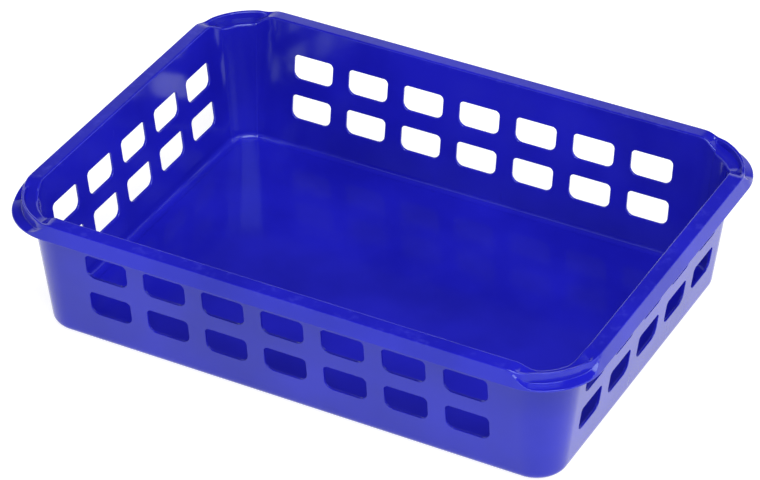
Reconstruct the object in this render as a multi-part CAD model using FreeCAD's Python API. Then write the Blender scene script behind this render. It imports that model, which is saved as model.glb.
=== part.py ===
import FreeCAD, Part
import math
import os

# Letter tray: a shallow open basket moulded in one piece, with two rows of
# windows round its walls and a rim turned down all round.
# Origin: centre of the footprint, on the surface that the tray stands on.
# +X runs along a long wall, -Y is the front long wall, +Z is up.

# ---------------------------------------------------------------- dimensions
HEIGHT = 81.2                   # overall height
DRAFT = 0.1165                  # how far the walls lean out per mm of height
WALL = 1.6                      # thickness of walls and rim
FLOOR_HALF_LENGTH = 154.14      # inside, at the foot of the short walls
FLOOR_HALF_WIDTH = 108.44       # inside, at the foot of the long walls
CORNER_AXIS_INSET = 22.0        # corner axes, in from the foot of both walls
CORNER_TIGHTENING = 6.0         # a corner's radius at the foot is less by this

FLOOR = 1.8                     # floor thickness
BEND_OUTSIDE = 5.0              # bend from floor to wall, outer radius
BEND_INSIDE = 3.4               # bend from floor to wall, inner radius
BASE_TOP = 6.0                  # height where the walls take over from the base
PANEL_RISE = 1.0                # raised panel above the border of the floor
PANEL_HALF_LENGTH = 148.7
PANEL_HALF_WIDTH = 104.5
PANEL_CORNER_RADIUS = 18.7

WINDOW_PITCH = 36.0
WINDOW_WIDTH = 25.5
WINDOW_HEIGHT = 15.4
WINDOW_TOP_RADIUS = 3.0
WINDOW_BOTTOM_RADIUS = 5.0
WINDOW_ROWS = (28.2, 53.9)      # heights of the row centres
LONG_WALL_WINDOWS = 7
SHORT_WALL_WINDOWS = 5

RIM_HALF_WIDTH = 126.5          # outer edge of the flat rim
RIM_EDGE_DROP = 0.4             # the rim falls this much to its outer edge
SKIRT_BOTTOM = 71.9             # lower edge of the turned-down skirt
SKIRT_FLARE = 2.6               # the skirt leans out this far over its height

RAMP_START = 4.0                # each ramp's run, past the end of a straight rim
RAMP_END = 17.0
SHELF_TOP = 76.0                # sunken shelf inside the corner ridge
RIDGE_TOP = 80.3                # ridge that carries the rim's edge round a corner
RIDGE_INSET = 0.4               # it stands in from the rim's outer edge
RIDGE_DRAFT = 0.3
LEDGE_TOP = 74.1                # low ledge outside the ridge, at the ridge
LEDGE_LIP = 73.1                # and at its outer edge
LEDGE_TIGHTENING = 7.66         # its corner's radius is less than the rim's by this

# ------------------------------------------------------------- derived sizes
CORNER_X = FLOOR_HALF_LENGTH - CORNER_AXIS_INSET
CORNER_Y = FLOOR_HALF_WIDTH - CORNER_AXIS_INSET
RIM_UNDERSIDE = HEIGHT - WALL
RIM_EDGE_TOP = HEIGHT - RIM_EDGE_DROP
RIM_RADIUS = RIM_HALF_WIDTH - CORNER_Y
SKIRT_RADIUS = RIM_RADIUS + SKIRT_FLARE
FAR = 400.0                     # larger than the tray in every direction


def wall_radius(z, outward=0.0):
    """Distance of a straight wall's face from the corner axis, at height z."""
    return CORNER_AXIS_INSET + DRAFT * z + outward


def inside_tightening(z):
    """The corners open out inside, to a full radius at the top of the rim."""
    return CORNER_TIGHTENING * (HEIGHT - z) / (HEIGHT - FLOOR)


def rounded_rectangle(radius, z, straight_x, straight_y):
    """Closed outline at height z: four quarter arcs joined by straight sides."""
    edges = []
    ends = []
    for quarter, (sx, sy) in enumerate(((1, 1), (-1, 1), (-1, -1), (1, -1))):
        centre = FreeCAD.Vector(sx * straight_x, sy * straight_y, z)
        points = []
        for step in (0, 45, 90):
            angle = math.radians(90 * quarter + step)
            reach = FreeCAD.Vector(math.cos(angle), math.sin(angle), 0)
            points.append(centre + reach * radius)
        edges.append(Part.Arc(*points).toShape())
        ends.append((points[0], points[2]))
    for quarter in range(4):
        start = ends[quarter][1]
        finish = ends[(quarter + 1) % 4][0]
        edges.append(Part.makeLine(start, finish))
    return Part.Wire(Part.__sortEdges__(edges))


def wall_outline(z, outward, tightening):
    radius = wall_radius(z, outward) - tightening
    return rounded_rectangle(radius, z, CORNER_X + tightening, CORNER_Y + tightening)


def drafted_block(low, high, z_low, bend):
    """Solid between two outlines, with its lower edge bent in."""
    block = Part.makeLoft([low, high], True, True)
    foot = [e for e in block.Edges if abs(e.BoundBox.ZMax - z_low) < 1e-4]
    return block.makeFillet(bend, foot)


def polygon_face(points):
    return Part.Face(Part.makePolygon(points + [points[0]]))


def box_between(low, high):
    size = [high[i] - low[i] for i in range(3)]
    return Part.makeBox(*size, FreeCAD.Vector(*low))


def window_cutter(centre_x, centre_z):
    """Prism along Y with the outline of one window, wider curves below."""
    half = WINDOW_WIDTH / 2
    top = centre_z + WINDOW_HEIGHT / 2
    bottom = centre_z - WINDOW_HEIGHT / 2
    corners = (
        (centre_x + half, top, WINDOW_TOP_RADIUS, 0),
        (centre_x - half, top, WINDOW_TOP_RADIUS, 90),
        (centre_x - half, bottom, WINDOW_BOTTOM_RADIUS, 180),
        (centre_x + half, bottom, WINDOW_BOTTOM_RADIUS, 270),
    )
    edges = []
    ends = []
    for x, z, radius, start in corners:
        middle = math.radians(start + 45)
        centre_of_arc = FreeCAD.Vector(
            x - math.copysign(radius, math.cos(middle)),
            -FAR / 2,
            z - math.copysign(radius, math.sin(middle)),
        )
        points = []
        for step in (0, 45, 90):
            angle = math.radians(start + step)
            reach = FreeCAD.Vector(math.cos(angle), 0, math.sin(angle))
            points.append(centre_of_arc + reach * radius)
        edges.append(Part.Arc(*points).toShape())
        ends.append((points[0], points[2]))
    for corner in range(4):
        edges.append(Part.makeLine(ends[corner][1], ends[(corner + 1) % 4][0]))
    outline = Part.Wire(Part.__sortEdges__(edges))
    return Part.Face(outline).extrude(FreeCAD.Vector(0, FAR, 0))


def window_row(count, centre_z):
    first = -(count - 1) / 2 * WINDOW_PITCH
    return [window_cutter(first + i * WINDOW_PITCH, centre_z) for i in range(count)]


def pierced_shell():
    """Floor, bends and walls in one solid, with every window cut through."""
    outside = drafted_block(
        wall_outline(0.0, WALL, CORNER_TIGHTENING),
        wall_outline(RIM_UNDERSIDE, WALL, CORNER_TIGHTENING),
        0.0,
        BEND_OUTSIDE,
    )
    inside = drafted_block(
        wall_outline(FLOOR, 0.0, inside_tightening(FLOOR)),
        wall_outline(HEIGHT, 0.0, inside_tightening(HEIGHT)),
        FLOOR,
        BEND_INSIDE,
    )
    shell = outside.cut(inside)
    cutters = []
    for height in WINDOW_ROWS:
        cutters += window_row(LONG_WALL_WINDOWS, height)
        for cutter in window_row(SHORT_WALL_WINDOWS, height):
            cutter.rotate(FreeCAD.Vector(), FreeCAD.Vector(0, 0, 1), 90)
            cutters.append(cutter)
    return shell.cut(cutters)


def panel_prism(z_low, z_high):
    """Vertical prism under the outline of the raised floor panel."""
    straight_x = PANEL_HALF_LENGTH - PANEL_CORNER_RADIUS
    straight_y = PANEL_HALF_WIDTH - PANEL_CORNER_RADIUS
    outline = rounded_rectangle(PANEL_CORNER_RADIUS, z_low, straight_x, straight_y)
    return Part.Face(outline).extrude(FreeCAD.Vector(0, 0, z_high - z_low))


def floor_panel():
    return panel_prism(PANEL_RISE, PANEL_RISE + FLOOR)


def side_region(z_low, z_high):
    """Space in front of the front corner axes."""
    return box_between((-CORNER_X, -FAR, z_low), (CORNER_X, -CORNER_Y, z_high))


def end_region(z_low, z_high):
    """Space to the right of the right corner axes."""
    return box_between((CORNER_X, -CORNER_Y, z_low), (FAR, CORNER_Y, z_high))


def corner_region(z_low, z_high):
    """Space outside the front right corner axis."""
    return box_between((CORNER_X, -FAR, z_low), (FAR, -CORNER_Y, z_high))


def base_parts(shell):
    """Border of the floor with its bend: one side, one end, one corner."""
    border = shell.cut(panel_prism(-1.0, BASE_TOP))
    regions = (side_region, end_region, corner_region)
    return [border.common(region(-1.0, BASE_TOP)) for region in regions]


def wall_parts(shell):
    """The walls above the base: one side, one end, one corner."""
    side = shell.common(side_region(BASE_TOP, RIM_UNDERSIDE))
    end = shell.common(end_region(BASE_TOP, RIM_UNDERSIDE))
    corner = shell.common(corner_region(BASE_TOP, SKIRT_BOTTOM))
    return side, end, corner


def skirt_face_radius(z, lower_radius=SKIRT_RADIUS):
    """Outer face of the skirt, from the rim's edge out to lower_radius."""
    share = (RIM_EDGE_TOP - z) / (RIM_EDGE_TOP - SKIRT_BOTTOM)
    return RIM_RADIUS + (lower_radius - RIM_RADIUS) * share


def rim_bar(section, half_length):
    """Straight bar along X from (radius, z) points in front of a corner axis."""
    points = [FreeCAD.Vector(-half_length, -CORNER_Y - r, z) for r, z in section]
    return polygon_face(points).extrude(FreeCAD.Vector(2 * half_length, 0, 0))


def rim_top(half_length):
    section = (
        (wall_radius(RIM_UNDERSIDE), RIM_UNDERSIDE),
        (wall_radius(HEIGHT), HEIGHT),
        (RIM_RADIUS, RIM_EDGE_TOP),
        (skirt_face_radius(RIM_UNDERSIDE), RIM_UNDERSIDE),
    )
    return rim_bar(section, half_length)


def rim_skirt(half_length):
    section = (
        (skirt_face_radius(RIM_UNDERSIDE), RIM_UNDERSIDE),
        (SKIRT_RADIUS, SKIRT_BOTTOM),
        (SKIRT_RADIUS - WALL, SKIRT_BOTTOM),
        (skirt_face_radius(RIM_UNDERSIDE) - WALL, RIM_UNDERSIDE),
    )
    return rim_bar(section, half_length)


def turned_to_end(bar):
    """A bar made in front, moved to the right-hand end of the tray."""
    end_bar = bar.copy()
    end_bar.translate(FreeCAD.Vector(0, CORNER_Y, 0))
    end_bar.rotate(FreeCAD.Vector(), FreeCAD.Vector(0, 0, 1), 90)
    end_bar.translate(FreeCAD.Vector(CORNER_X, 0, 0))
    return end_bar


def blend(low, high, share):
    return low + (high - low) * share


def ramp_share(angle, radius):
    """0 where the corner meets the straight rims, 1 once its ramp is down."""
    along = radius * math.sin(math.radians(min(angle, 90.0 - angle)))
    run = (along - RAMP_START) / (RAMP_END - RAMP_START)
    run = min(max(run, 0.0), 1.0)
    return run * run * (3 - 2 * run)


def tightened(radius, tightening, angle):
    """Reach of a corner that is straight first and then turns more tightly."""
    from_side = math.radians(min(angle, 90.0 - angle))
    if radius * math.tan(from_side) < tightening:
        return radius / math.cos(from_side)
    turn = math.radians(angle - 45.0)
    offset = tightening * math.sqrt(2)
    chord = (radius - tightening) ** 2 - (offset * math.sin(turn)) ** 2
    return offset * math.cos(turn) + math.sqrt(chord)


def inner_face(z, angle):
    return tightened(wall_radius(z), inside_tightening(z), angle)


def outer_face(z, angle):
    return tightened(wall_radius(z, WALL), CORNER_TIGHTENING, angle)


def land_height(radius):
    """Height of the flat rim, which falls a little to its outer edge."""
    inner = wall_radius(HEIGHT)
    share = (radius - inner) / (RIM_RADIUS - inner)
    return blend(HEIGHT, RIM_EDGE_TOP, share)


def corner_section(angle):
    """Rim section at one angle round the corner, as (radius, z) points."""
    inner = ramp_share(angle, wall_radius(HEIGHT))
    outer = ramp_share(angle, RIM_RADIUS)
    edge = tightened(SKIRT_RADIUS, LEDGE_TIGHTENING, angle)
    ridge = RIM_RADIUS - RIDGE_INSET * outer
    inner_top = blend(HEIGHT, SHELF_TOP, inner)
    riser = ridge - blend(2 * WALL, WALL + RIDGE_DRAFT, outer)
    foot = blend(RIM_EDGE_TOP - 0.8, LEDGE_TOP, outer)
    lip = blend(RIM_EDGE_TOP - 1.6, LEDGE_LIP, outer)
    under = blend(RIM_UNDERSIDE, SHELF_TOP - WALL, outer)
    skirt_inside = skirt_face_radius(RIM_UNDERSIDE, edge) - WALL
    return (
        (inner_face(SKIRT_BOTTOM, angle), SKIRT_BOTTOM),
        (inner_face(inner_top, angle), inner_top),
        (riser, blend(land_height(riser), SHELF_TOP, outer)),
        (ridge - WALL, blend(land_height(ridge - WALL), RIDGE_TOP, outer)),
        (ridge, blend(RIM_EDGE_TOP, RIDGE_TOP, outer)),
        (blend(skirt_face_radius(foot, edge), ridge + RIDGE_DRAFT, outer), foot),
        (blend(skirt_face_radius(lip, edge), edge - RIDGE_DRAFT, outer), lip),
        (edge, SKIRT_BOTTOM),
        (blend(edge - WALL, RIM_RADIUS, outer), SKIRT_BOTTOM),
        (blend(skirt_inside, RIM_RADIUS - WALL, outer), under),
        (outer_face(under, angle), under),
        (outer_face(SKIRT_BOTTOM, angle), SKIRT_BOTTOM),
    )


def corner_rim():
    """Front right corner of the rim: ramps, ridge, sunken shelf and low ledge."""
    half = [0.0, 4.0, 7.5, 11.0, 14.5, 18.0, 21.5, 25.0, 29.0, 34.0]
    angles = half + [45.0] + [90.0 - angle for angle in reversed(half)]
    wires = []
    for angle in angles:
        turn = math.radians(angle)
        points = []
        for radius, z in corner_section(angle):
            x = CORNER_X + radius * math.sin(turn)
            y = -CORNER_Y - radius * math.cos(turn)
            points.append(FreeCAD.Vector(x, y, z))
        wires.append(Part.makePolygon(points + [points[0]]))
    return Part.makeLoft(wires, True, True)


def mirrored(shape, across_x=False, across_y=False):
    result = shape
    if across_x:
        result = result.mirror(FreeCAD.Vector(), FreeCAD.Vector(1, 0, 0))
    if across_y:
        result = result.mirror(FreeCAD.Vector(), FreeCAD.Vector(0, 1, 0))
    return result


def save(node, shape):
    solids = shape.Solids
    if len(solids) != 1 or not shape.isValid():
        raise RuntimeError(f"{node}: {len(solids)} solids, valid {shape.isValid()}")
    solids[0].exportStep(f"parts/{node}.step")


def save_sides(kind, front):
    save(f"front_{kind}", front)
    save(f"back_{kind}", mirrored(front, across_y=True))


def save_ends(kind, right):
    save(f"right_{kind}", right)
    save(f"left_{kind}", mirrored(right, across_x=True))


def save_corners(kind, front_right):
    save(f"front_right_{kind}", front_right)
    save(f"front_left_{kind}", mirrored(front_right, across_x=True))
    save(f"back_right_{kind}", mirrored(front_right, across_y=True))
    save(f"back_left_{kind}", mirrored(front_right, True, True))


def main():
    os.makedirs("parts", exist_ok=True)
    shell = pierced_shell()
    save("floor_panel", floor_panel())

    base_side, base_end, base_corner = base_parts(shell)
    save_sides("base", base_side)
    save_ends("base", base_end)
    save_corners("base", base_corner)

    wall_side, wall_end, wall_corner = wall_parts(shell)
    save_sides("wall", wall_side)
    save_ends("wall", wall_end)
    save_corners("wall", wall_corner)

    save_sides("rim_top", rim_top(CORNER_X))
    save_ends("rim_top", turned_to_end(rim_top(CORNER_Y)))
    save_sides("rim_skirt", rim_skirt(CORNER_X))
    save_ends("rim_skirt", turned_to_end(rim_skirt(CORNER_Y)))
    save_corners("rim_corner", corner_rim())


main()
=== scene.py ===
import math

import bmesh
import bpy
from bpy.props import FloatProperty, FloatVectorProperty, IntProperty, PointerProperty
from mathutils import Matrix, Vector


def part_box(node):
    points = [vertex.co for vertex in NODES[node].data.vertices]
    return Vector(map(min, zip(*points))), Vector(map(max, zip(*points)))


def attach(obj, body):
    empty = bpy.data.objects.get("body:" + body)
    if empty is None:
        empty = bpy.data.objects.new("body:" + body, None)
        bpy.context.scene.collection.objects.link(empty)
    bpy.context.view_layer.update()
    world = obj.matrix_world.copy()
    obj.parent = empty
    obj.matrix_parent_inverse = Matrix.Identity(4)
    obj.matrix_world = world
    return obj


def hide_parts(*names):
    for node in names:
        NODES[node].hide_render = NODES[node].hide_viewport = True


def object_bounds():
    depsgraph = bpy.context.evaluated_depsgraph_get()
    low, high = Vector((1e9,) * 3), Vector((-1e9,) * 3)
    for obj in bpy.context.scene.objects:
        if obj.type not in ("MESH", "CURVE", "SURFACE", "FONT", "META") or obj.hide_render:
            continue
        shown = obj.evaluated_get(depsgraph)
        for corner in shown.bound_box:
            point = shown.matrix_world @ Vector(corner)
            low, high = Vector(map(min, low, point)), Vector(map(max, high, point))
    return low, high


bl_info = {
    "name": "Letter Tray",
    "version": (1, 0, 0),
    "blender": (4, 5, 0),
    "location": "View3D > Sidebar > Letter Tray",
    "description": "Models a moulded plastic letter tray and lights it in a small studio",
    "category": "Add Mesh",
}

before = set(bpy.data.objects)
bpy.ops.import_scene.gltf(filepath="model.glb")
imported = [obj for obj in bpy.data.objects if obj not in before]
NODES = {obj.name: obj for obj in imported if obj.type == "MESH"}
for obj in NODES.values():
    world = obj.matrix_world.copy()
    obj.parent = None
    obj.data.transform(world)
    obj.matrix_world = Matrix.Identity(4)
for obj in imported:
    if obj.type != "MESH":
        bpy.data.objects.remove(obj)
CAD_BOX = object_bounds()

# ------------------------------------------------- the tray's sizes, in metres
# Everything is built as the front right quarter, about a vertical axis inside
# its corner, and then mirrored. A section is a list of (radius, z) points, with
# the radius measured from that axis or from the line through it along a side.
CORNER_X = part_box("front_wall")[1].x
CORNER_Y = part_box("right_wall")[1].y
HEIGHT = CAD_BOX[1].z
DRAFT = 0.1165                  # how far the walls lean out, per unit of height
WALL = 0.0016                   # thickness of walls and rim
AXIS_INSET = 0.022              # corner axes, in from the foot of both walls
TIGHTENING = 0.006              # a corner's radius at the foot is less by this
FLOOR_TOP = 0.0018
BASE_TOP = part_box("front_base")[1].z
BEND_INSIDE = 0.0034
BEND_OUTSIDE = 0.005
BEND_STEPS = 6

PANEL_LOW, PANEL_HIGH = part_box("floor_panel")
PANEL_CORNER_RADIUS = 0.0187

WINDOW_PITCH = 0.036
ROW_HEIGHTS = (0.0282, 0.0539)
ROW_PITCH = ROW_HEIGHTS[1] - ROW_HEIGHTS[0]
LONG_WALL_REACH = 3             # windows on each side of the middle one
SHORT_WALL_REACH = 2
LONG_WALL_CELLS = (0.5, 1.5, 2.5, 3.5)  # ends of the windows' cells, in pitches
SHORT_WALL_CELLS = (0.5, 1.5)   # a short wall's last cell ends at the corner axis
CELL_INSET = 0.001              # frees a cell's middle, which then becomes a window
CELL_FACING = 0.9               # least part of a cell's normal that is across its wall
WINDOW_CORNER_STEPS = 5

SKIRT_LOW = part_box("front_rim_skirt")[0]
SKIRT_BOTTOM = SKIRT_LOW.z
SKIRT_RADIUS = -SKIRT_LOW.y - CORNER_Y
SKIRT_FLARE = 0.0026
RIM_RADIUS = SKIRT_RADIUS - SKIRT_FLARE
RIM_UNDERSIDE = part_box("front_rim_top")[0].z
RIM_EDGE_DROP = 0.0004          # the flat rim falls this much to its outer edge
RIM_EDGE_TOP = HEIGHT - RIM_EDGE_DROP
SHELF_TOP = 0.076
RIDGE_TOP = 0.0803
RIDGE_INSET = 0.0004            # the ridge stands in from the rim's outer edge
RIDGE_DRAFT = 0.0003
CREST_FALL = 0.0007             # the ridge's top falls this much to its inner edge
NOTCH_DEPTH = 0.0009            # dip where a ridge meets the straight rims
LEDGE_TOP = 0.0741
LEDGE_LIP = 0.0731
LEDGE_TIGHTENING = 0.00766      # a corner's radius at the ledge's lip is less by this
STEP_SPACING = 0.0008           # between rim edge, ledge foot and lip on a straight skirt
RAMP_START = 0.004              # a ramp's run, past the end of the straight rim
RAMP_END = 0.017

PAD_ANGLE = 25.0                # degrees from each side to the pad in a corner
PAD_EDGE = 0.8                  # degrees across the edge of the pad
PAD_DEPTH = 0.0003

CORNER_STEPS = 40
ROUND_WIDTH = 0.002             # bevel width of an edge with a weight of one
SHARP_FOLD = math.radians(40)   # an unrounded edge that folds more is shaded sharp
WALL_SHARP_FOLD = math.radians(60)  # the same for the walls and their windows
TOUCHING = 1e-6

# Rounded edges, by the number of their point in its section
PANEL_EDGE = 0
MOUTH_EDGE = 1
CREST_INNER_EDGE = 3
CREST_OUTER_EDGE = 4
LEDGE_FOOT = 5
LEDGE_EDGE = 6
SKIRT_OUTER_EDGE = 7
SKIRT_INNER_EDGE = 8

PANEL_ROUNDING = 0.0006
SKIRT_OUTER_ROUNDING = 0.0007
SKIRT_INNER_ROUNDING = 0.0003
MOUTH_SHARE = 1.5               # these four are in parts of the rim's own rounding
SHELF_SHARE = 3.0               # the mouth's edge along a corner's shelf
LEDGE_FOOT_SHARE = 0.5
LEDGE_EDGE_SHARE = 0.6

# ------------------------------------------------------- the plastic's finish
# Noise scales are per metre, and depths are in metres.
DRIFT_SCALE = 14.0              # slow drift of the colour
DEEP_GAIN = 0.88                # colour where it is deepest
PALE_GAIN = 1.16                # and where it is palest
PALE_LIFT = 0.002
WEAR_SCALE = 190.0
WORN_RIM_DEPTH = 0.004          # wear reaches this far down from the rim's top
WORN_FOOT_HEIGHT = 0.0015       # and this far up from the ground
RIM_WEAR = 0.25
FOOT_WEAR = 0.5
HAZE_SCALE = 45.0
SCRATCH_SCALES = (40.0, 900.0, 40.0)
SCRATCH_TURN = 0.5              # radians
HAZE_ROUGHNESS = 0.06           # what each adds to the clean surface's roughness
SCRATCH_ROUGHNESS = 0.05
WEAR_ROUGHNESS = 0.25
SINK_SCALE = 22.0
SINK_DEPTH = 0.00028
PEEL_SCALE = 420.0
PEEL_DEPTH = 0.0000035
REFRACTIVE_INDEX = 1.46
REFLECTION_TINT = (0.82, 0.98, 1.0, 1.0)

# ------------------------------------------------------------------ the studio
FLOOR_REACH = 6.0               # from the middle of the studio floor to its sides
FLOOR_GAP = 0.0002              # the floor is this far below the tray
FLOOR_GREY = 0.35
FLOOR_ROUGHNESS = 0.9
FLOOR_GLOW = 0.85
WALLS_FADE = 0.42               # the white walls fade out from here, as the sine
CEILING_START = 0.52            # of the angle above level, to here
SOFTBOXES = (                   # name, place, side and watts
    ("overhead_softbox", (0.65, -0.75, 1.8), 1.5, 46.0),
    ("right_softbox", (1.5, 0.1, 1.1), 0.9, 6.0),
)
CAMERA_TARGET = Vector((0.02899, -0.06103, 0.08579))
CAMERA_DISTANCE = 1.91842
CAMERA_ROLL = math.radians(0.178)
SENSOR_WIDTH = 36.0             # millimetres


# ------------------------------------------------------------------ properties
class TrayShape(bpy.types.PropertyGroup):
    """Sizes of the tray's windows and edges."""

    window_width: FloatProperty(
        name="Window width", description="Width of each window in the walls",
        default=0.0255, min=0.01, max=0.03, unit="LENGTH")
    window_height: FloatProperty(
        name="Window height", description="Height of each window in the walls",
        default=0.0154, min=0.005, max=0.02, unit="LENGTH")
    window_top_radius: FloatProperty(
        name="Upper corners", description="Radius of a window's two upper corners",
        default=0.003, min=0.0005, max=0.006, unit="LENGTH")
    window_bottom_radius: FloatProperty(
        name="Lower corners", description="Radius of a window's two lower corners",
        default=0.005, min=0.0005, max=0.007, unit="LENGTH")
    window_rounding: FloatProperty(
        name="Window edge", description="Rounding of the edge round each window",
        default=0.00045, min=0.00005, max=0.0007, unit="LENGTH")
    rim_rounding: FloatProperty(
        name="Rim edge", description="Rounding of the rim's upper edges",
        default=0.0006, min=0.0001, max=0.0008, unit="LENGTH")
    edge_steps: IntProperty(
        name="Edge steps", description="Facets across each rounded edge",
        default=3, min=1, max=6)


class TrayFinish(bpy.types.PropertyGroup):
    """Colour and surface of the moulded plastic."""

    plastic_color: FloatVectorProperty(
        name="Plastic", description="Colour of the plastic",
        default=(0.0088, 0.0088, 0.38), min=0.0, max=1.0, subtype="COLOR")
    worn_color: FloatVectorProperty(
        name="Worn plastic", description="Colour that the plastic wears towards",
        default=(0.06, 0.065, 0.6), min=0.0, max=1.0, subtype="COLOR")
    roughness: FloatProperty(
        name="Roughness", description="Roughness of the clean moulded surface",
        default=0.12, min=0.02, max=1.0, subtype="FACTOR")


class TrayStudio(bpy.types.PropertyGroup):
    """Camera and light."""

    azimuth: FloatProperty(
        name="Azimuth", description="How far the camera stands round to the right",
        default=math.radians(27.779), subtype="ANGLE")
    elevation: FloatProperty(
        name="Elevation", description="How far the camera looks down",
        default=math.radians(34.55), subtype="ANGLE")
    lens: FloatProperty(
        name="Focal length", description="Focal length of the camera's lens, in millimetres",
        default=171.94, min=20.0, max=400.0)
    surround: FloatProperty(
        name="Surround", description="Brightness of the white room round the tray",
        default=1.0, min=0.0, max=4.0)
    ceiling: FloatProperty(
        name="Ceiling", description="Brightness of the room above the tray",
        default=0.06, min=0.0, max=4.0)


# ------------------------------------------------------------- shape of a section
def blend(low, high, share):
    """The value that is share of the way from low to high."""
    return low + (high - low) * share


def wall_radius(z, outward=0.0):
    """Distance of a straight wall's face from the corner axis, at height z."""
    return AXIS_INSET + DRAFT * z + outward


def from_side(angle):
    """Degrees between a direction in a corner and the nearer of its two sides."""
    return min(angle, 90.0 - angle)


def inside_tightening(z):
    """The corners open out inside, to a full radius at the top of the rim."""
    return TIGHTENING * (HEIGHT - z) / (HEIGHT - FLOOR_TOP)


def tightened(radius, tightening, angle):
    """Reach of a corner that is straight first and then turns more tightly."""
    lean = math.radians(from_side(angle))
    if radius * math.tan(lean) < tightening:
        return radius / math.cos(lean)
    turn = math.radians(angle - 45.0)
    offset = tightening * math.sqrt(2)
    chord = (radius - tightening) ** 2 - (offset * math.sin(turn)) ** 2
    return offset * math.cos(turn) + math.sqrt(chord)


def pad(angle):
    """How far the inner face stands in across the middle of a corner."""
    share = (from_side(angle) - PAD_ANGLE) / PAD_EDGE
    return PAD_DEPTH * min(max(share, 0.0), 1.0)


def inner_face(z, angle):
    """Reach of the wall's inner face, at height z."""
    return tightened(wall_radius(z), inside_tightening(z), angle) - pad(angle)


def outer_face(z, angle):
    """Reach of the wall's outer face, at height z."""
    return tightened(wall_radius(z, WALL), TIGHTENING, angle)


def land_height(radius):
    """Height of the flat rim, which falls a little to its outer edge."""
    inner = wall_radius(HEIGHT)
    return blend(HEIGHT, RIM_EDGE_TOP, (radius - inner) / (RIM_RADIUS - inner))


def bend(z, radius, outward=0.0):
    """Curve from the floor at height z up into the leaning wall."""
    turn = math.pi / 2 - math.atan(DRAFT)
    centre = wall_radius(z, outward) - radius * math.tan(turn / 2)
    points = []
    for step in range(BEND_STEPS + 1):
        angle = turn * step / BEND_STEPS - math.pi / 2
        points.append((centre + radius * math.cos(angle), z + radius + radius * math.sin(angle)))
    return points


def panel_radius(base, angle):
    """Edge of the raised floor panel, seen from a point on the corner's lines."""
    centre_x = PANEL_HIGH.x - PANEL_CORNER_RADIUS
    centre_y = PANEL_HIGH.y - PANEL_CORNER_RADIUS
    offset = Vector((max(base.x - centre_x, 0.0), max(-base.y - centre_y, 0.0)))
    along = offset.dot(Vector((math.sin(math.radians(angle)), math.cos(math.radians(angle)))))
    return math.sqrt(PANEL_CORNER_RADIUS ** 2 - offset.length_squared + along ** 2) - along


def panel_section(base, angle):
    """Upright edge of the raised panel."""
    edge = panel_radius(base, angle)
    return [(edge, PANEL_HIGH.z), (edge, PANEL_LOW.z)]


def border_section(base, angle):
    """Flat border of the floor and its bend into the wall."""
    edge = panel_radius(base, angle)
    inside = [
        (tightened(radius, inside_tightening(z), angle) - pad(angle), z)
        for radius, z in bend(FLOOR_TOP, BEND_INSIDE)]
    outside = [
        (tightened(radius, TIGHTENING, angle), z)
        for radius, z in reversed(bend(0.0, BEND_OUTSIDE, WALL))]
    top = [(inner_face(BASE_TOP, angle), BASE_TOP), (outer_face(BASE_TOP, angle), BASE_TOP)]
    return [(edge, FLOOR_TOP)] + inside + top + outside + [(edge, 0.0)]


def wall_section(base, angle):
    """The leaning wall, divided into one band for each row of windows."""
    middle = sum(ROW_HEIGHTS) / 2
    levels = (BASE_TOP, middle - ROW_PITCH, middle, middle + ROW_PITCH, SKIRT_BOTTOM)
    inside = [(inner_face(z, angle), z) for z in levels]
    outside = [(outer_face(z, angle), z) for z in reversed(levels)]
    return inside + outside


def skirt_face_radius(z, lower_radius):
    """Outer face of the skirt, from the rim's edge out to lower_radius."""
    share = (RIM_EDGE_TOP - z) / (RIM_EDGE_TOP - SKIRT_BOTTOM)
    return blend(RIM_RADIUS, lower_radius, share)


def ramp_share(angle, radius):
    """0 where a corner meets the straight rims, 1 once its ramp is down."""
    along = radius * math.sin(math.radians(from_side(angle)))
    run = min(max((along - RAMP_START) / (RAMP_END - RAMP_START), 0.0), 1.0)
    return run * run * (3 - 2 * run)


def rim_section(base, angle):
    """Flat rim with its skirt, which becomes shelf, ridge and ledge at a corner."""
    inner, outer = ramp_share(angle, wall_radius(HEIGHT)), ramp_share(angle, RIM_RADIUS)
    edge = tightened(SKIRT_RADIUS, LEDGE_TIGHTENING, angle)
    ridge = RIM_RADIUS - RIDGE_INSET * outer
    inner_top = blend(HEIGHT, SHELF_TOP, inner)
    riser = ridge - blend(2 * WALL, WALL + RIDGE_DRAFT, outer)
    foot = blend(RIM_EDGE_TOP - STEP_SPACING, LEDGE_TOP, outer)
    lip = blend(RIM_EDGE_TOP - 2 * STEP_SPACING, LEDGE_LIP, outer)
    under = blend(RIM_UNDERSIDE, SHELF_TOP - WALL, outer)
    # Blended by outer below, the crest dips by NOTCH_DEPTH half way along a ramp.
    ridge_top = RIDGE_TOP - 4 * NOTCH_DEPTH * (1 - outer)
    skirt_inside = skirt_face_radius(RIM_UNDERSIDE, edge) - WALL
    return [
        (inner_face(SKIRT_BOTTOM, angle), SKIRT_BOTTOM),
        (inner_face(inner_top, angle), inner_top),
        (riser, blend(land_height(riser), SHELF_TOP, outer)),
        (ridge - WALL, blend(land_height(ridge - WALL), ridge_top - CREST_FALL, outer)),
        (ridge, blend(RIM_EDGE_TOP, ridge_top, outer)),
        (blend(skirt_face_radius(foot, edge), ridge + RIDGE_DRAFT, outer), foot),
        (blend(skirt_face_radius(lip, edge), edge - RIDGE_DRAFT, outer), lip),
        (edge, SKIRT_BOTTOM),
        (blend(edge - WALL, RIM_RADIUS, outer), SKIRT_BOTTOM),
        (blend(skirt_inside, RIM_RADIUS - WALL, outer), under),
        (outer_face(under, angle), under),
        (outer_face(SKIRT_BOTTOM, angle), SKIRT_BOTTOM),
    ]


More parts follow.
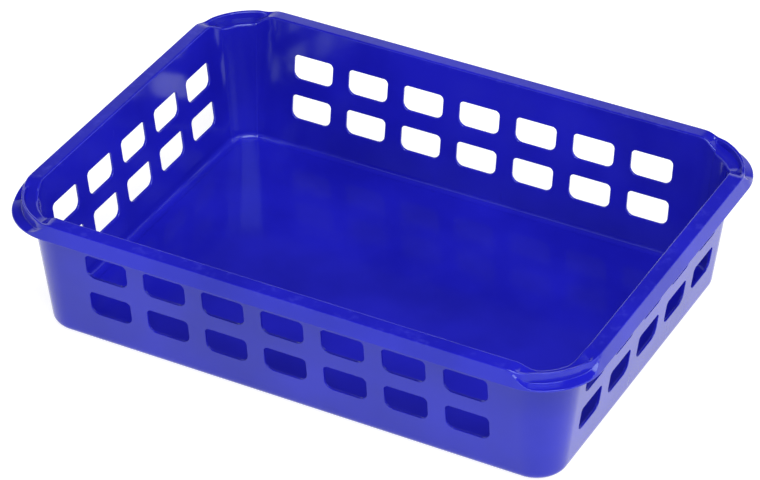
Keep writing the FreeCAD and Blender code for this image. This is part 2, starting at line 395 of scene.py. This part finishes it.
# ------------------------------------------------------------------- modelling
def stations():
    """Places of the sections: a point on the corner's lines and a direction."""
    for column in (0, *LONG_WALL_CELLS):
        yield Vector((column * WINDOW_PITCH, -CORNER_Y, 0)), 0.0
    edges = {PAD_ANGLE, PAD_ANGLE + PAD_EDGE, 90.0 - PAD_ANGLE - PAD_EDGE, 90.0 - PAD_ANGLE}
    for angle in sorted(edges | {90.0 * step / CORNER_STEPS for step in range(CORNER_STEPS + 1)}):
        yield Vector((CORNER_X, -CORNER_Y, 0)), angle
    for column in (*reversed(SHORT_WALL_CELLS), 0):
        yield Vector((CORNER_X, -column * WINDOW_PITCH, 0)), 90.0


def first_ring(bm, count, closed):
    """Verts and edges of the first section, before they are placed."""
    verts = [bm.verts.new() for _ in range(count)]
    pairs = list(zip(verts, verts[1:]))
    if closed:
        pairs.append((verts[-1], verts[0]))
    return verts, [bm.edges.new(pair) for pair in pairs]


def next_ring(bm, verts, edges):
    """Extrudes a ring and returns its new verts, in the same order, and edges."""
    grown = bmesh.ops.extrude_edge_only(bm, edges=edges)["geom"]
    fresh = {item for item in grown if isinstance(item, bmesh.types.BMVert)}
    follow = []
    for vert in verts:
        ends = [edge.other_vert(vert) for edge in vert.link_edges]
        follow.append(next(end for end in ends if end in fresh))
    kept = [item for item in grown if isinstance(item, bmesh.types.BMEdge)]
    return follow, [edge for edge in kept if fresh.issuperset(edge.verts)]


def swept(section, closed=True):
    """Carries a section round one quarter and mirrors it to the other three.

    section takes a point on the corner's lines and the angle of a direction from
    it, and returns the points of the section there.
    """
    bm = bmesh.new()
    chain = bm.verts.layers.int.new("chain")
    ramp = bm.verts.layers.float.new("ramp")
    verts = None
    for base, angle in stations():
        points = section(base, angle)
        if verts is None:
            verts, edges = first_ring(bm, len(points), closed)
        else:
            verts, edges = next_ring(bm, verts, edges)
        turn = math.radians(angle)
        outward = Vector((math.sin(turn), -math.cos(turn), 0))
        for number, (vert, (radius, z)) in enumerate(zip(verts, points)):
            vert.co = base + outward * radius + Vector((0, 0, z))
            vert[chain] = number
            vert[ramp] = ramp_share(angle, radius)
    for axis in ("X", "Y"):
        whole = bm.verts[:] + bm.edges[:] + bm.faces[:]
        bmesh.ops.mirror(bm, geom=whole, matrix=Matrix.Identity(4), merge_dist=TOUCHING, axis=axis)
    seams = [edge for edge in bm.edges if on_plane(edge, 0) or on_plane(edge, 1)]
    bmesh.ops.dissolve_edges(bm, edges=seams, use_verts=True)
    return bm


def on_plane(edge, axis):
    """Whether an edge lies where two mirrored quarters meet."""
    return all(abs(vert.co[axis]) < TOUCHING for vert in edge.verts)


def window_at(face):
    """Place of a face that becomes a window, or None for any other face.

    The place is the wall's direction (0 along X, 1 along Y), its side (1 or -1),
    the column, counted from the middle, and the row.
    """
    centre = face.calc_center_median()
    for along, corner, reach in ((0, CORNER_X, LONG_WALL_REACH), (1, CORNER_Y, SHORT_WALL_REACH)):
        across = 1 - along
        column = round(centre[along] / WINDOW_PITCH)
        in_wall = abs(face.normal[across]) >= CELL_FACING and abs(centre[along]) <= corner
        if not in_wall or abs(column) > reach:
            continue
        for row, height in enumerate(ROW_HEIGHTS):
            if abs(centre.z - height) < ROW_PITCH / 4:
                side = 1 if centre[across] > 0 else -1
                return along, side, column, row
    return None


def move_to_window(face, place, outward, shape):
    """Moves a face's four corners to those of the window at that place."""
    along, side, column, row = place
    across = 1 - along
    corner = (CORNER_X, CORNER_Y)[across]
    middle = column * WINDOW_PITCH
    centre = face.calc_center_median()
    for vert in face.verts:
        right = 1 if vert.co[along] > centre[along] else -1
        above = 1 if vert.co.z > centre.z else -1
        z = ROW_HEIGHTS[row] + above * shape.window_height / 2
        vert.co[along] = middle + right * shape.window_width / 2
        vert.co[across] = side * (corner + wall_radius(z, outward))
        vert.co.z = z


def cut_windows(bm, shape):
    """Insets each wall face to a window, inside and outside, and joins the two."""
    windows = {}
    for face in bm.faces:
        place = window_at(face)
        if place is not None:
            windows.setdefault(place, []).append(face)
    cells = [face for pair in windows.values() for face in pair]
    bmesh.ops.inset_individual(bm, faces=cells, thickness=CELL_INSET, use_even_offset=True)
    through = {True: [], False: []}
    for place, pair in windows.items():
        along, _, _, row = place
        inner = min(pair, key=lambda face: abs(face.calc_center_median()[1 - along]))
        loops = []
        for face in pair:
            move_to_window(face, place, 0.0 if face is inner else WALL, shape)
            loops += face.edges[:]
        bmesh.ops.delete(bm, geom=pair, context="FACES_ONLY")
        joined = bmesh.ops.bridge_loops(bm, edges=loops)
        known = set(loops)
        for edge in dict.fromkeys(edge for face in joined["faces"] for edge in face.edges):
            if edge not in known:
                above = edge.verts[0].co.z > ROW_HEIGHTS[row]
                through[above].append(edge)
    for above, radius in ((True, shape.window_top_radius), (False, shape.window_bottom_radius)):
        bmesh.ops.bevel(
            bm, geom=through[above], offset=radius, offset_type="OFFSET", affect="EDGES",
            segments=WINDOW_CORNER_STEPS, profile=0.5, material=-1, loop_slide=True)


def weigh_edges(bm, rounding):
    """Gives the edges that rounding knows a bevel weight and marks the rest sharp.

    rounding takes an edge's chain and its place on a ramp and returns a radius.
    """
    chain = bm.verts.layers.int["chain"]
    ramp = bm.verts.layers.float["ramp"]
    weight = bm.edges.layers.float.new("bevel_weight_edge")
    for edge in bm.edges:
        start, end = edge.verts
        if len(edge.link_faces) != 2:
            continue
        if start[chain] == end[chain]:
            share = (start[ramp] + end[ramp]) / 2
            edge[weight] = rounding(start[chain], share) / ROUND_WIDTH
        if edge[weight] == 0 and edge.calc_face_angle() > SHARP_FOLD:
            edge.smooth = False


def weigh_windows(bm, radius):
    """Weights the edges round the windows and marks the walls' own edges sharp."""
    weight = bm.edges.layers.float.new("bevel_weight_edge")
    for edge in bm.edges:
        if edge.calc_face_angle() <= WALL_SHARP_FOLD:
            continue
        height = (edge.verts[0].co.z + edge.verts[1].co.z) / 2
        if BASE_TOP + TOUCHING < height < SKIRT_BOTTOM - TOUCHING:
            edge[weight] = radius / ROUND_WIDTH
        else:
            edge.smooth = False


def object_from(bm, name, material):
    """Turns a bmesh into an object in the scene."""
    mesh = bpy.data.meshes.new(name)
    bm.to_mesh(mesh)
    bm.free()
    mesh.materials.append(material)
    made = bpy.data.objects.new(name, mesh)
    bpy.context.scene.collection.objects.link(made)
    return made


def finish_piece(bm, name, nodes, steps):
    """Makes the piece from its mesh, rounds its edges and ties it to the frame."""
    bmesh.ops.recalc_face_normals(bm, faces=bm.faces)
    for face in bm.faces:
        face.smooth = True
    piece = object_from(bm, name, moulded_plastic())
    edges = piece.modifiers.new("Rounded edges", "BEVEL")
    edges.width = ROUND_WIDTH
    edges.segments = steps
    edges.limit_method = "WEIGHT"
    edges.profile = 0.5
    edges.use_clamp_overlap = False
    edges.harden_normals = True
    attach(piece, "root")
    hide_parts(*nodes)


def nodes_ending(*endings):
    """Names of the frame's nodes that end in one of these."""
    return sorted(name for name in NODES if name.endswith(endings))


# ------------------------------------------------------------------- materials
class Value:
    """One output of a shader node. Arithmetic written with it adds Math nodes."""

    def __init__(self, finish, socket):
        self.finish = finish
        self.socket = socket

    def math(self, operation, *operands):
        """Adds a Math node. An operand is a number or another output."""
        return self.finish.node(
            "ShaderNodeMath", {"operation": operation}, dict(enumerate(operands)))

    def __add__(self, other):
        return self.math("ADD", self, other)

    def __rsub__(self, other):
        return self.math("SUBTRACT", other, self)

    def __mul__(self, other):
        return self.math("MULTIPLY", self, other)


# Sockets of a Mix node that mixes colours, which share their names with others
MIX_FACTOR = 0
MIX_FIRST = 6
MIX_SECOND = 7
MIX_RESULT = 2


class Finish:
    """A material's node tree, filled one node at a time."""

    def __init__(self, owner):
        owner.use_nodes = True
        self.tree = owner.node_tree
        self.tree.nodes.clear()

    def node(self, kind, settings=None, inputs=None, output=0):
        """Adds a node with its settings and inputs, and gives one of its outputs."""
        made = self.tree.nodes.new(kind)
        for name, value in (settings or {}).items():
            setattr(made, name, value)
        for name, value in (inputs or {}).items():
            if isinstance(value, Value):
                self.tree.links.new(value.socket, made.inputs[name])
            else:
                made.inputs[name].default_value = value
        return Value(self, made.outputs[output]) if made.outputs else made

    def noise(self, place, scale, detail=2.0, roughness=0.5):
        """Noise from 0 to 1, mostly near a half."""
        return self.node("ShaderNodeTexNoise", {}, {
            "Vector": place, "Scale": scale, "Detail": detail, "Roughness": roughness})

    def stretched(self, place, scale, turn):
        """Coordinates turned about Z and scaled, for a pattern that is drawn out."""
        return self.node("ShaderNodeMapping", {}, {
            "Vector": place, "Rotation": (0.0, 0.0, turn), "Scale": scale})

    def step(self, value, low, high):
        """Rises smoothly from 0 at low to 1 at high."""
        return self.node("ShaderNodeMapRange", {"interpolation_type": "SMOOTHSTEP"}, {
            "Value": value, "From Min": low, "From Max": high})

    def tint(self, factor, first, second):
        """Colour that goes from first to second as the factor goes from 0 to 1."""
        return self.node("ShaderNodeMix", {"data_type": "RGBA"}, {
            MIX_FACTOR: factor, MIX_FIRST: first, MIX_SECOND: second}, MIX_RESULT)


def plastic_wear(finish, place):
    """Broken wear along the top of the rim and round the foot."""
    height = finish.node("ShaderNodeSeparateXYZ", {}, {"Vector": place}, "Z")
    rim = finish.step(height, HEIGHT - WORN_RIM_DEPTH, HEIGHT)
    foot = 1 - finish.step(height, 0.0, WORN_FOOT_HEIGHT)
    patches = finish.noise(place, WEAR_SCALE, detail=4.0, roughness=0.6)
    return (rim * RIM_WEAR + foot * FOOT_WEAR) * finish.step(patches, low=0.5, high=0.75)


def plastic_colour(finish, place, wear, settings):
    """Dyed blue that drifts a little, and pales where it is worn."""
    blue = tuple(settings.plastic_color)
    deep = [part * DEEP_GAIN for part in blue] + [1.0]
    pale = [min(part * PALE_GAIN + PALE_LIFT, 1.0) for part in blue] + [1.0]
    drift = finish.step(finish.noise(place, DRIFT_SCALE, detail=3.0), low=0.3, high=0.7)
    return finish.tint(wear, finish.tint(drift, deep, pale), [*settings.worn_color, 1.0])


def plastic_roughness(finish, place, wear, settings):
    """The clean gloss, dulled by haze, fine scratches and wear."""
    scratch_place = finish.stretched(place, SCRATCH_SCALES, SCRATCH_TURN)
    scratches = finish.step(finish.noise(scratch_place, scale=1.0, detail=1.0), low=0.66, high=0.72)
    haze = finish.step(
        finish.noise(place, HAZE_SCALE, detail=3.0, roughness=0.6), low=0.45, high=0.75)
    dulled = haze * HAZE_ROUGHNESS + scratches * SCRATCH_ROUGHNESS + wear * WEAR_ROUGHNESS
    return dulled + settings.roughness


def plastic_relief(finish, place):
    """Shallow sink marks and the fine orange peel of a moulded surface."""
    sink = finish.noise(place, SINK_SCALE, detail=1.0)
    peel = finish.noise(place, PEEL_SCALE)
    return finish.node("ShaderNodeBump", {}, {
        "Strength": 1.0, "Distance": 1.0, "Height": sink * SINK_DEPTH + peel * PEEL_DEPTH})


def moulded_plastic():
    """Glossy dyed plastic, made once and shared by all the pieces."""
    known = bpy.data.materials.get("moulded_blue_plastic")
    if known is not None:
        return known
    settings = bpy.context.scene.tray_finish
    material = bpy.data.materials.new("moulded_blue_plastic")
    finish = Finish(material)
    place = finish.node("ShaderNodeTexCoord", output="Object")
    wear = plastic_wear(finish, place)
    shader = finish.node("ShaderNodeBsdfPrincipled", {}, {
        "Base Color": plastic_colour(finish, place, wear, settings),
        "Roughness": plastic_roughness(finish, place, wear, settings),
        "Normal": plastic_relief(finish, place),
        "IOR": REFRACTIVE_INDEX,
        "Specular Tint": REFLECTION_TINT})
    finish.node("ShaderNodeOutputMaterial", {}, {"Surface": shader})
    return material


def white_floor():
    """Matt ground, whose own glow keeps it white all round the tray."""
    material = bpy.data.materials.new("white_studio_floor")
    finish = Finish(material)
    shader = finish.node("ShaderNodeBsdfPrincipled", {}, {
        "Base Color": (FLOOR_GREY, FLOOR_GREY, FLOOR_GREY, 1.0), "Roughness": FLOOR_ROUGHNESS,
        "Emission Color": (1.0, 1.0, 1.0, 1.0), "Emission Strength": FLOOR_GLOW})
    finish.node("ShaderNodeOutputMaterial", {}, {"Surface": shader})
    return material


# ------------------------------------------------------------------- operators
class MakeFloorPanel(bpy.types.Operator):
    """Makes the raised middle of the floor"""

    bl_idname = "tray.make_floor_panel"
    bl_label = "Floor Panel"

    def execute(self, context):
        shape = context.scene.tray_shape
        bm = swept(panel_section, closed=False)
        bmesh.ops.holes_fill(bm, edges=bm.edges, sides=0)
        weigh_edges(bm, lambda chain, share: PANEL_ROUNDING if chain == PANEL_EDGE else 0.0)
        finish_piece(bm, "floor_panel_moulding", ["floor_panel"], shape.edge_steps)
        return {"FINISHED"}


class MakeFloorBorder(bpy.types.Operator):
    """Makes the flat border of the floor and its bend into the walls"""

    bl_idname = "tray.make_floor_border"
    bl_label = "Floor Border"

    def execute(self, context):
        shape = context.scene.tray_shape
        bm = swept(border_section)
        weigh_edges(bm, lambda chain, share: 0.0)
        finish_piece(bm, "floor_border_moulding", nodes_ending("_base"), shape.edge_steps)
        return {"FINISHED"}


class MakeWindowWalls(bpy.types.Operator):
    """Makes the four leaning walls with their windows"""

    bl_idname = "tray.make_window_walls"
    bl_label = "Window Walls"

    def execute(self, context):
        shape = context.scene.tray_shape
        bm = swept(wall_section)
        cut_windows(bm, shape)
        weigh_windows(bm, shape.window_rounding)
        finish_piece(bm, "window_walls_moulding", nodes_ending("_wall"), shape.edge_steps)
        return {"FINISHED"}


class MakeRim(bpy.types.Operator):
    """Makes the flat rim, its turned-down skirt and its stepped corners"""

    bl_idname = "tray.make_rim"
    bl_label = "Rim"

    def execute(self, context):
        shape = context.scene.tray_shape

        def rounding(chain, share):
            edge = shape.rim_rounding
            radii = {
                MOUTH_EDGE: blend(MOUTH_SHARE, SHELF_SHARE, share) * edge,
                CREST_INNER_EDGE: edge * share,
                CREST_OUTER_EDGE: edge,
                LEDGE_FOOT: LEDGE_FOOT_SHARE * edge * share,
                LEDGE_EDGE: LEDGE_EDGE_SHARE * edge * share,
                SKIRT_OUTER_EDGE: SKIRT_OUTER_ROUNDING,
                SKIRT_INNER_EDGE: SKIRT_INNER_ROUNDING,
            }
            return radii.get(chain, 0.0)

        bm = swept(rim_section)
        weigh_edges(bm, rounding)
        nodes = nodes_ending("_rim_top", "_rim_skirt", "_rim_corner")
        finish_piece(bm, "rim_moulding", nodes, shape.edge_steps)
        return {"FINISHED"}


class SetStudio(bpy.types.Operator):
    """Sets up the white floor, the soft lights and the camera"""

    bl_idname = "tray.set_studio"
    bl_label = "Studio"

    def execute(self, context):
        scene = context.scene
        studio = scene.tray_studio
        self.lay_floor()
        self.light_room(scene, studio)
        self.place_camera(scene, studio)
        scene.view_settings.view_transform = "Standard"
        return {"FINISHED"}

    def lay_floor(self):
        """A wide white floor just below the tray."""
        bm = bmesh.new()
        bmesh.ops.create_grid(bm, x_segments=1, y_segments=1, size=FLOOR_REACH)
        floor = object_from(bm, "studio_floor", white_floor())
        floor.location.z = -FLOOR_GAP

    def light_room(self, scene, studio):
        """White walls up to some 25 degrees above level, a dim ceiling and softboxes."""
        world = bpy.data.worlds.new("white_room")
        scene.world = world
        room = Finish(world)
        direction = room.node("ShaderNodeTexCoord", output="Generated")
        up = room.node("ShaderNodeSeparateXYZ", {}, {"Vector": direction}, "Z")
        ceiling = room.step(up, WALLS_FADE, CEILING_START)
        strength = (1 - ceiling) * studio.surround + ceiling * studio.ceiling
        background = room.node("ShaderNodeBackground", {}, {
            "Color": (1.0, 1.0, 1.0, 1.0), "Strength": strength})
        room.node("ShaderNodeOutputWorld", {}, {"Surface": background})
        for name, place, side, watts in SOFTBOXES:
            light = bpy.data.lights.new(name, "AREA")
            light.shape = "SQUARE"
            light.size = side
            light.energy = watts
            lamp = bpy.data.objects.new(name, light)
            lamp.location = place
            lamp.rotation_euler = (-Vector(place)).to_track_quat("-Z", "Y").to_euler()
            scene.collection.objects.link(lamp)

    def place_camera(self, scene, studio):
        """Aims the camera at its target from the azimuth and elevation."""
        toward = Vector((
            math.sin(studio.azimuth) * math.cos(studio.elevation),
            -math.cos(studio.azimuth) * math.cos(studio.elevation),
            math.sin(studio.elevation),
        ))
        right = Vector((math.cos(studio.azimuth), math.sin(studio.azimuth), 0.0))
        up = toward.cross(right)
        tilt = Matrix.Rotation(CAMERA_ROLL, 3, toward)
        axes = Matrix((tilt @ right, tilt @ up, toward)).transposed()
        camera = bpy.data.cameras.new("camera")
        camera.lens = studio.lens
        camera.sensor_width = SENSOR_WIDTH
        camera.clip_end = 50.0
        holder = bpy.data.objects.new("camera", camera)
        place = CAMERA_TARGET + toward * CAMERA_DISTANCE
        holder.matrix_world = Matrix.Translation(place) @ axes.to_4x4()
        scene.collection.objects.link(holder)
        scene.camera = holder


OPERATORS = (MakeFloorPanel, MakeFloorBorder, MakeWindowWalls, MakeRim, SetStudio)


class TrayPanel(bpy.types.Panel):
    """Lists the steps that make the tray and their settings"""

    bl_idname = "VIEW3D_PT_letter_tray"
    bl_label = "Letter Tray"
    bl_space_type = "VIEW_3D"
    bl_region_type = "UI"
    bl_category = "Letter Tray"

    def draw(self, context):
        for group in ("tray_shape", "tray_finish", "tray_studio"):
            settings = getattr(context.scene, group)
            column = self.layout.column(align=True)
            for name in settings.__annotations__:
                column.prop(settings, name)
        for operator in OPERATORS:
            self.layout.operator(operator.bl_idname)


GROUPS = {"tray_shape": TrayShape, "tray_finish": TrayFinish, "tray_studio": TrayStudio}


def register():
    for item in (*GROUPS.values(), *OPERATORS, TrayPanel):
        bpy.utils.register_class(item)
    for name, group in GROUPS.items():
        setattr(bpy.types.Scene, name, PointerProperty(type=group))


def unregister():
    for name in GROUPS:
        delattr(bpy.types.Scene, name)
    for item in (TrayPanel, *reversed(OPERATORS), *reversed(list(GROUPS.values()))):
        bpy.utils.unregister_class(item)


def main():
    register()
    bpy.ops.tray.make_floor_panel()
    bpy.ops.tray.make_floor_border()
    bpy.ops.tray.make_window_walls()
    bpy.ops.tray.make_rim()
    bpy.ops.tray.set_studio()
    bpy.context.view_layer.update()


if __name__ == "__main__":
    main()
